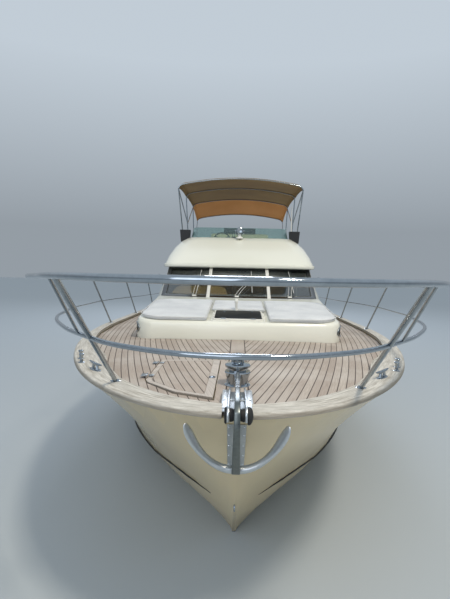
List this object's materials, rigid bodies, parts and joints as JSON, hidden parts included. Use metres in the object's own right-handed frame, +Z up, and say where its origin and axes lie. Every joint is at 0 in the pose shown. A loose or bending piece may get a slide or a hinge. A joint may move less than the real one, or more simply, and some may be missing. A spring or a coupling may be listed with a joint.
{
  "type": "flybridge motor yacht",
  "caption": "Flybridge motor yacht afloat, with teak foredeck, guard rails, sun pads, awning, cockpit, twin propellers and rudders.",
  "frame": {"origin": "on the waterline, amidships, on the centreline", "axes": "bow towards -Y, port side towards +X, +Z up"},
  "size_m": [4.428, 15.718, 5.9079],
  "materials": {
    "gelcoat": "glossy cream gelcoat",
    "white_frame": "white paint",
    "teak": "bleached teak planks with dark caulking",
    "steel": "polished stainless steel",
    "tinted_glass": "dark tinted glass",
    "clear_tint": "blue-green tinted acrylic",
    "cushion": "light grey outdoor fabric",
    "upholstery": "beige leather",
    "canvas": "khaki brown awning canvas",
    "black_plastic": "matt black",
    "bronze": "cast bronze",
    "engine_paint": "grey engine paint"
  },
  "bodies": {
    "hull_body": {"aerial": "white_frame", "aft_bulkhead": "gelcoat", "aft_window": "tinted_glass", "anchor": "steel", "anchor_chain": "steel", "awning_canvas": "canvas", "awning_frame": "steel", "bow_rail": "steel", "bow_roller": "steel", "cockpit_sofa": "cushion", "covering_board_port": "teak", "covering_board_starboard": "teak", "deck_teak": "teak", "deckhouse_front": "gelcoat", "deckhouse_side_port": "gelcoat", "deckhouse_side_starboard": "gelcoat", "engine_port": "engine_paint", "engine_starboard": "engine_paint", "flybridge_console": "gelcoat", "flybridge_fairing": "gelcoat", "flybridge_floor": "gelcoat", "flybridge_ladder": "teak", "flybridge_sofa": "cushion", "helm_seat": "upholstery", "hull": "gelcoat", "saloon_helm": "upholstery", "saloon_seat": "upholstery", "saloon_sofa": "upholstery", "searchlight": "steel", "shaft_bracket_port": "bronze", "shaft_bracket_starboard": "bronze", "side_light_port": "black_plastic", "side_light_starboard": "black_plastic", "side_rail_port": "steel", "side_rail_starboard": "steel", "side_window_port": "tinted_glass", "side_window_starboard": "tinted_glass", "sun_pad_centre": "cushion", "sun_pad_port": "cushion", "sun_pad_starboard": "cushion", "swim_platform": "gelcoat", "trunk_cabin": "gelcoat", "wind_deflector": "clear_tint", "windlass": "steel", "windscreen_centre": "tinted_glass", "windscreen_frame": "white_frame", "windscreen_port": "tinted_glass", "windscreen_starboard": "tinted_glass"},
    "deck_hatch": {"deck_hatch": "tinted_glass"},
    "anchor_locker_lid": {"anchor_locker_lid": "teak"},
    "engine_hatch": {"engine_hatch": "teak"},
    "saloon_door": {"saloon_door": "tinted_glass"},
    "transom_gate": {"transom_gate": "gelcoat"},
    "windlass_drum": {"windlass_drum": "steel"},
    "propeller_port": {"propeller_port": "bronze"},
    "propeller_starboard": {"propeller_starboard": "bronze"},
    "rudder_port": {"rudder_port": "bronze"},
    "rudder_starboard": {"rudder_starboard": "bronze"},
    "saloon_wheel": {"saloon_wheel": "black_plastic"},
    "flybridge_wheel": {"flybridge_wheel": "black_plastic"}
  },
  "joints": [
    {"name": "deck_hatch_lift", "type": "hinge", "parent": "hull_body", "child": "deck_hatch", "pos_m": [0, -4.0861, 2.1317], "axis": [1, 0, 0], "range_deg": [0, 80]},
    {"name": "anchor_locker_lift", "type": "hinge", "parent": "hull_body", "child": "anchor_locker_lid", "pos_m": [-0.77, -5.9, 1.862], "axis": [0, -0.9999, 0.012], "range_deg": [0, 100]},
    {"name": "engine_hatch_lift", "type": "hinge", "parent": "hull_body", "child": "engine_hatch", "pos_m": [0, 3.305, 0.899], "axis": [1, 0, 0], "range_deg": [0, 80]},
    {"name": "saloon_door_slide", "type": "slide", "parent": "hull_body", "child": "saloon_door", "axis": [-1, 0, 0], "range_m": [0, 0.78]},
    {"name": "transom_gate_swing", "type": "hinge", "parent": "hull_body", "child": "transom_gate", "pos_m": [1.494, 6.3, 1.2], "axis": [0, 0, -1], "range_deg": [0, 110]},
    {"name": "windlass_drum_spin", "type": "hinge", "parent": "hull_body", "child": "windlass_drum", "pos_m": [0, -6.47, 1.98], "axis": [0, 0, 1], "continuous": true},
    {"name": "propeller_port_spin", "type": "hinge", "parent": "hull_body", "child": "propeller_port", "pos_m": [0.62, 5.56, -0.735], "axis": [0, 0.9848, -0.1736], "continuous": true},
    {"name": "propeller_starboard_spin", "type": "hinge", "parent": "hull_body", "child": "propeller_starboard", "pos_m": [-0.62, 5.56, -0.735], "axis": [0, 0.9848, -0.1736], "continuous": true},
    {"name": "rudder_starboard_turn", "type": "hinge", "parent": "hull_body", "child": "rudder_starboard", "pos_m": [-0.62, 6.02, -0.4], "axis": [0, 0, 1], "range_deg": [-35, 35]},
    {"name": "rudder_port_turn", "type": "hinge", "parent": "hull_body", "child": "rudder_port", "pos_m": [0.62, 6.02, -0.4], "axis": [0, 0, 1], "range_deg": [-35, 35]},
    {"name": "saloon_wheel_turn", "type": "hinge", "parent": "hull_body", "child": "saloon_wheel", "pos_m": [-0.72, -0.566, 1.93], "axis": [0, 0.8192, 0.5736], "range_deg": [-450, 450]},
    {"name": "flybridge_wheel_turn", "type": "hinge", "parent": "hull_body", "child": "flybridge_wheel", "pos_m": [-0.42, 0.905, 3.48], "axis": [0, 0.8192, 0.5736], "range_deg": [-450, 450]}
  ],
  "couplings": [
    {"joint": "rudder_port_turn", "follows": "rudder_starboard_turn", "ratio": 1}
  ]
}
